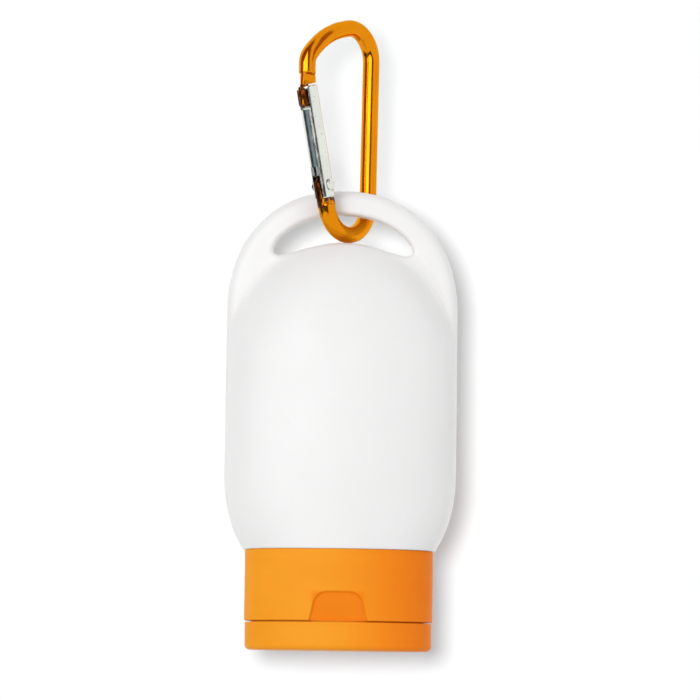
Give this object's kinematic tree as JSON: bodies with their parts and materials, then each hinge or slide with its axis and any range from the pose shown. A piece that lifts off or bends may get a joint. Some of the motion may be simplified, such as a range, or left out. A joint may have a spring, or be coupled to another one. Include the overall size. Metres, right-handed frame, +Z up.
{
  "type": "travel sunscreen bottle",
  "caption": "Flat oval squeeze bottle that stands on its flip-top cap, with a handle moulded into its rounded end and a snap hook through the handle.",
  "frame": {"origin": "centre of the lid's flat face, on which the bottle stands", "axes": "+Z up the bottle's axis towards the handle, -Y the front with the thumb recess, +X to the right of that front"},
  "size_m": [0.052, 0.028, 0.1428],
  "materials": {
    "bottle_white": "satin blow-moulded polyethylene",
    "seal_foam": "matte foamed polyethylene",
    "cap_orange": "satin injection-moulded polypropylene",
    "hook_orange": "glossy orange anodised",
    "gate_metal": "polished, uncoloured",
    "steel": "bright drawn"
  },
  "bodies": {
    "bottle": {"bottle_body": "bottle_white", "neck_seal": "seal_foam", "cap_base": "cap_orange", "hinge_film": "cap_orange", "snap_strap_left": "cap_orange", "snap_strap_right": "cap_orange"},
    "lid": {"cap_lid": "cap_orange"},
    "hook": {"carabiner_body": "hook_orange", "gate_rivet": "gate_metal"},
    "gate": {"carabiner_gate": "gate_metal", "gate_spring": "steel", "gate_plunger": "steel"}
  },
  "joints": [
    {"name": "lid_hinge", "type": "hinge", "parent": "bottle", "child": "lid", "pos_m": [0, 0.01252, 0.0063], "axis": [1, 0, 0], "range_deg": [0, 150], "deforming": ["hinge_film", "snap_strap_left", "snap_strap_right"]},
    {"name": "carabiner_swing", "type": "hinge", "parent": "bottle", "child": "hook", "pos_m": [0.00076, 0, 0.10028], "axis": [1, 0, 0], "range_deg": [-90, 90]},
    {"name": "gate_hinge", "type": "hinge", "parent": "hook", "child": "gate", "pos_m": [-0.00466, -0.00646, 0.104], "axis": [-0.766, 0.6428, 0], "range_deg": [0, 40], "stiffness_Nm_per_rad": 0.01, "springref_deg": -10}
  ]
}
